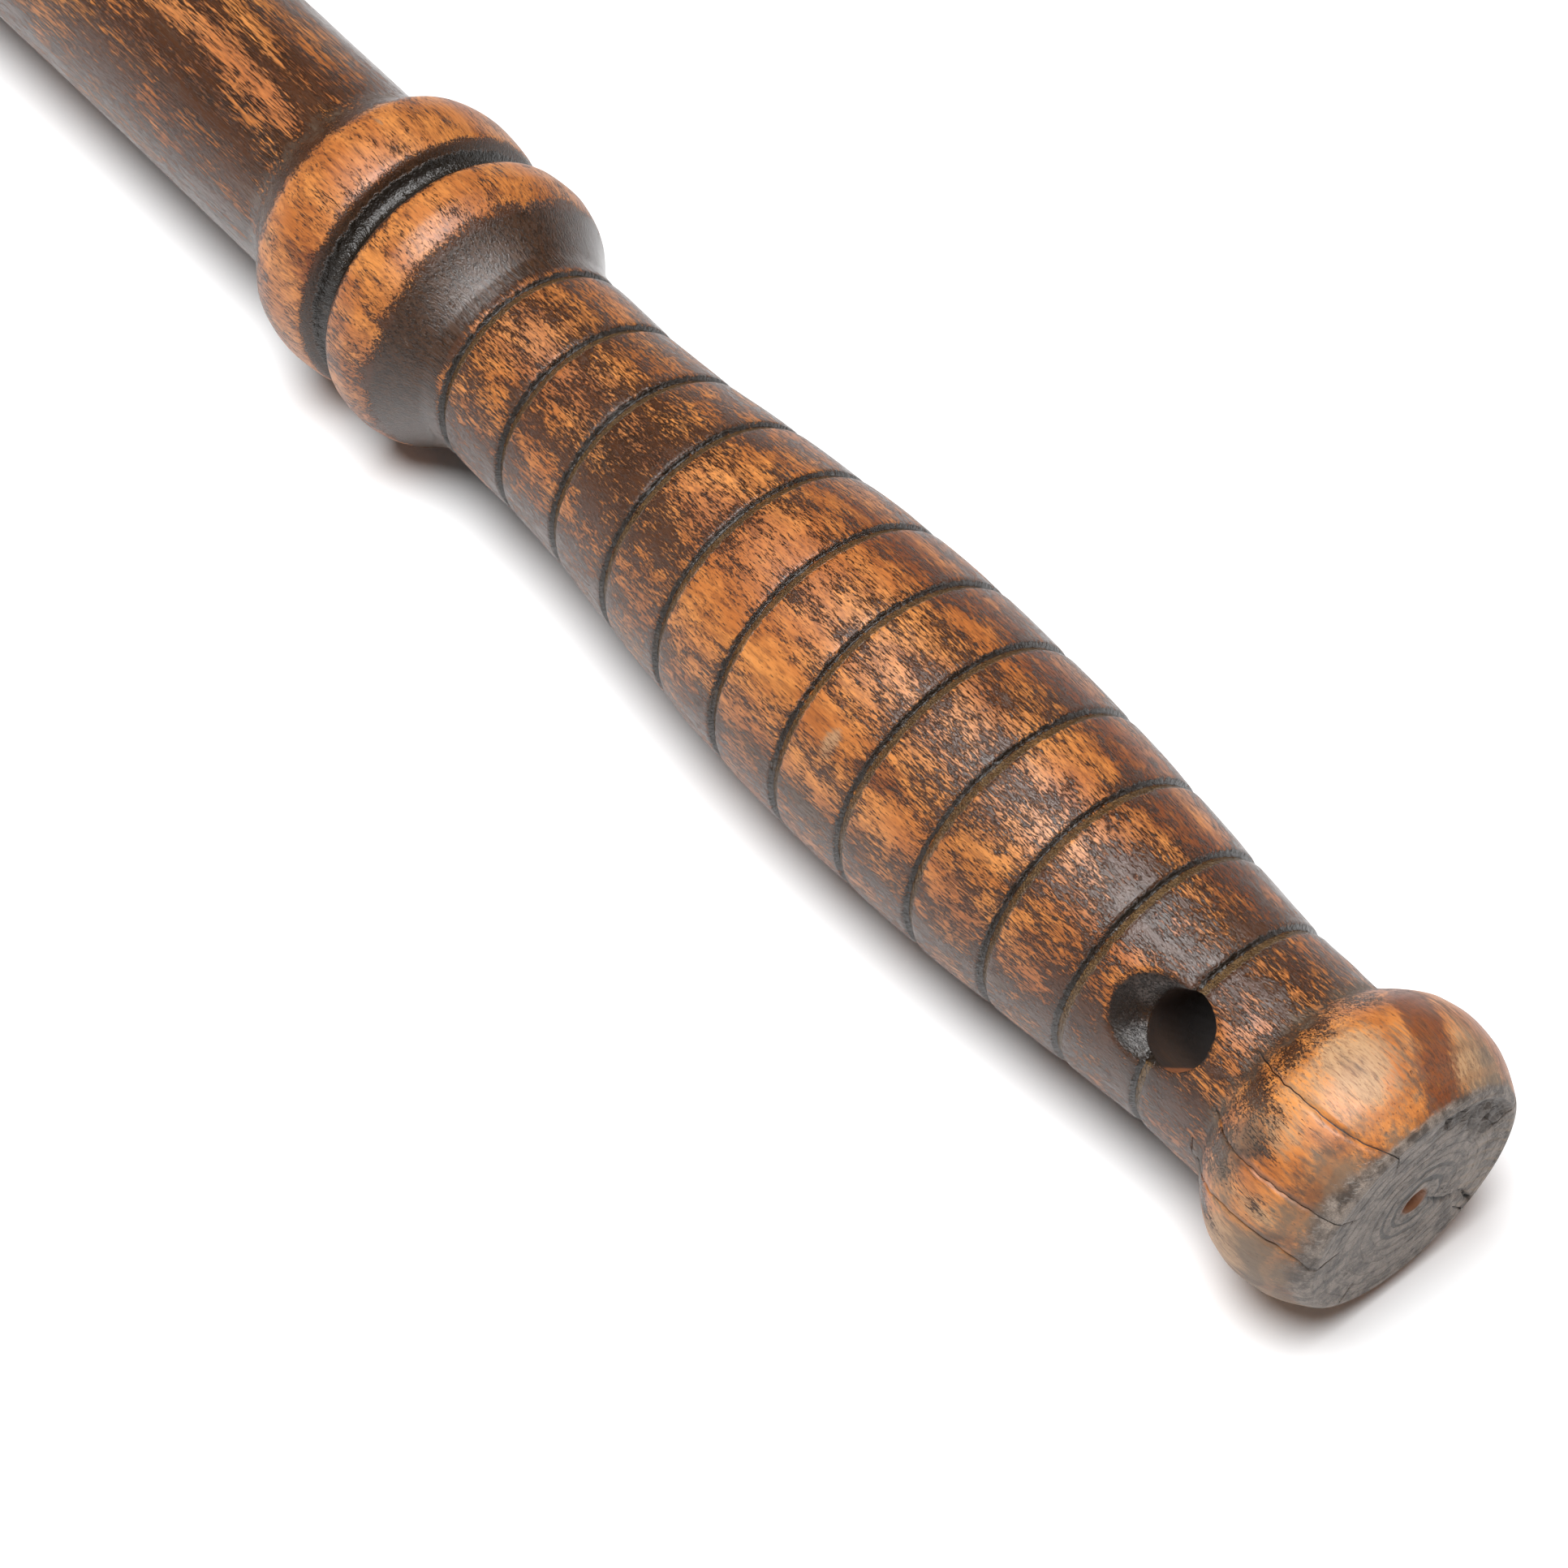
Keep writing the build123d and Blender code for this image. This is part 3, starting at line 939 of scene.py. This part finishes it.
def strap_wear(g, p, colour):
    """The rubbed black mouth and wall of the strap hole, rusty on one side."""
    rubbed = g.mix(g.step(p.fleck, 0.38, 0.62), RUBBED_BLACK, RUBBED_BROWN)
    edge = g.plus(g.value("mouth"), g.swing(p.fleck, 0.8))
    colour = g.mix(g.step(edge, 0.12, 0.42, 0.0, 0.95), colour, rubbed)
    rust = g.step(g.plus(g.value("rust"), g.swing(p.fleck, 1.2)), 0.3, 0.8)
    return g.mix(g.times(rust, 0.85), colour, RUST)


def silver_end(g, p, colour):
    """Silver-grey, ringed end grain with scratches and cuts; also returns its share and the scratches'."""
    patchy = g.noise(p.where, (0.4, 0.4, 0.4), 8, 0.78)
    silver = g.mix(g.step(patchy, 0.38, 0.6), SILVER_DARK, SILVER_LIGHT)
    silver = g.mix(g.step(p.fine_fleck, 0.4, 0.62, 0.0, 0.5), silver, SILVER_FLECK)
    silver = g.mix(g.times(g.value("torn"), 0.55), silver, SILVER_TORN)
    silver = g.mix(g.times(p.rings, g.value("ringed")), silver, SILVER_RING)
    scratch = g.step(g.noise(p.where, (1.0, 0.3, 2.2), 4, 0.65), 0.56, 0.7)
    silver = g.mix(g.times(scratch, 0.55), silver, SILVER_SCRATCH)
    silver = g.mix(g.times(g.value("cuts"), 0.8), silver, TOOL_CUT)
    share = g.step(g.plus(g.value("end_grain"), g.swing(p.cluster, 1.2)), 0.2, 0.85)
    colour = g.mix(share, colour, silver)
    return g.mix(g.value("fresh"), colour, FRESH_WOOD), share, scratch


def gloss(g, p, layers):
    """Roughness: each (share, roughness) of the layers covers those before it."""
    rough = grey_value(WOOD_ROUGHNESS)
    for share, amount in layers:
        rough = g.mix(share, rough, grey_value(amount))
    return g.plus(rough, g.swing(p.fine_fleck, 0.2))


def relief(g, p, dark, soot_and_shade, slope, scratch):
    """The finish stands a little above the wood, and pores and scratches lie below."""
    height = g.math("MULTIPLY_ADD", dark, 0.25, g.times(p.fleck, 0.7))
    height = g.math("MULTIPLY_ADD", p.pores, -0.6, height)
    height = g.math("MULTIPLY_ADD", p.fine_fleck, 0.55, height)
    normal = g.bump(height, GRAIN_RELIEF)
    normal = g.bump(g.times(p.pits, g.math("MAXIMUM", dark, soot_and_shade)), PIT_RELIEF, normal)
    normal = g.bump(g.times(p.crust, g.math("MAXIMUM", slope, soot_and_shade)), CRUST_RELIEF, normal)
    end_height = g.times(g.math("MULTIPLY_ADD", p.rings, -0.7, scratch), g.value("end_grain"))
    return g.bump(end_height, END_RELIEF, normal)


def worn_wood():
    """Turned wood with the last of a dark finish, red stain, dirt and bare patches; painted shade in the
    grooves and cracks, and painted sheen along the grip's lower flank.
    """
    material = bpy.data.materials.new("worn_wood")
    material.use_nodes = True
    g = Graph(material)
    p = Patterns(g)
    colour, pale = pale_wood(g, p, orange_wood(g, p))
    colour = red_stain(g, p, colour)
    colour, dark = dark_finish(g, p, colour)
    colour, soot_and_shade, slope = groove_dirt_and_shade(g, p, colour)
    colour, grey = grey_weathering_and_sheen(g, p, colour)
    colour = strap_wear(g, p, colour)
    colour, end, scratch = silver_end(g, p, colour)
    # The cracks and the open split are painted near-black: painted shade inside them
    colour = g.mix(g.step(g.value("crack"), 0.25, 0.8), colour, PAINTED_CRACK_SHADE)
    layers = (
        (dark, FINISH_ROUGHNESS),
        (pale, PALE_ROUGHNESS),
        (grey, GREY_ROUGHNESS),
        (end, END_ROUGHNESS),
        (g.math("MAXIMUM", slope, soot_and_shade), DIRT_ROUGHNESS),
        (g.value("mouth"), MOUTH_ROUGHNESS),
        (g.value("bore"), BORE_ROUGHNESS),
    )
    shader = g.shader(0.5)
    g.feed(shader.inputs["Base Color"], colour)
    g.feed(shader.inputs["Roughness"], gloss(g, p, layers))
    g.feed(shader.inputs["Normal"], relief(g, p, dark, soot_and_shade, slope, scratch))
    return material


def white_paper():
    """Plain, nearly matt white paper."""
    material = bpy.data.materials.new("paper")
    material.use_nodes = True
    shader = Graph(material).shader(0.2)
    shader.inputs["Base Color"].default_value = PAPER_WHITE
    shader.inputs["Roughness"].default_value = PAPER_ROUGHNESS
    return material


def paper_floor():
    """A plain white sheet that the stick lies on, knob and hand stop both touching it."""
    rise = math.atan2(BEAD_RADIUS - KNOB_RADIUS, BEAD_CREST - KNOB_CREST)
    mesh = bpy.data.meshes.new("floor")
    half = FLOOR_SIZE / 2
    corners = [(-half, -half, 0), (half, -half, 0), (half, half, 0), (-half, half, 0)]
    mesh.from_pydata(corners, [], [(0, 1, 2, 3)])
    floor = bpy.data.objects.new("floor", mesh)
    bpy.context.scene.collection.objects.link(floor)
    contact = Vector(((KNOB_END - BEAD_CREST) * MM, 0, body_low.z))
    tilt = Matrix.Rotation(-rise, 4, "Y")
    floor.matrix_world = Matrix.Translation(contact) @ tilt @ Matrix.Translation((-contact.x, 0, 0))
    mesh.materials.append(white_paper())


def soft_light(name, direction, distance, size, power):
    """A round soft light that faces the middle of the grip. Its distance and size are in metres."""
    light = bpy.data.lights.new(name, "AREA")
    light.shape = "DISK"
    light.size = size
    light.energy = power
    lamp = bpy.data.objects.new(name, light)
    aim = Vector(((KNOB_END - GRIP_MIDDLE) * MM, 0, AXIS_HEIGHT * MM))
    away = Vector(direction).normalized()
    lamp.location = aim + away * distance
    lamp.rotation_euler = away.to_track_quat("Z", "Y").to_euler()
    bpy.context.scene.collection.objects.link(lamp)


def studio():
    """A dim white room with one large soft light overhead."""
    world = bpy.data.worlds.new("studio")
    world.use_nodes = True
    background = world.node_tree.nodes["Background"]
    background.inputs["Color"].default_value = (1.0, 1.0, 1.0, 1)
    background.inputs["Strength"].default_value = ROOM_STRENGTH
    bpy.context.scene.world = world
    soft_light("overhead", (0.0, -0.17, 1.0), distance=1.3, size=1.0, power=34.5)
    bpy.context.scene.view_settings.view_transform = "Standard"


def make_camera():
    """A long lens above the knob's end, looking along the stick towards the hand stop."""
    camera = bpy.data.cameras.new("camera")
    camera.lens = 83.85
    camera.sensor_width = 36.0
    camera.clip_end = 20.0
    holder = bpy.data.objects.new("camera", camera)
    right = Vector((0.62797, 0.77824, 0.0))
    up = Vector((-0.61685, 0.49774, 0.60971))
    back = right.cross(up)
    turn = Matrix((right, up, back)).transposed().to_4x4()
    beyond_knob, aside, above = 109.0, -169.8, 318.2
    eye = Vector((KNOB_END + beyond_knob, aside, AXIS_HEIGHT + above)) * MM
    holder.matrix_world = Matrix.Translation(eye) @ turn
    bpy.context.scene.collection.objects.link(holder)
    bpy.context.scene.camera = holder


truncheon = build_truncheon()
truncheon.data.materials.append(worn_wood())
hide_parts("turned_body")
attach(truncheon, "root")
paper_floor()
studio()
make_camera()
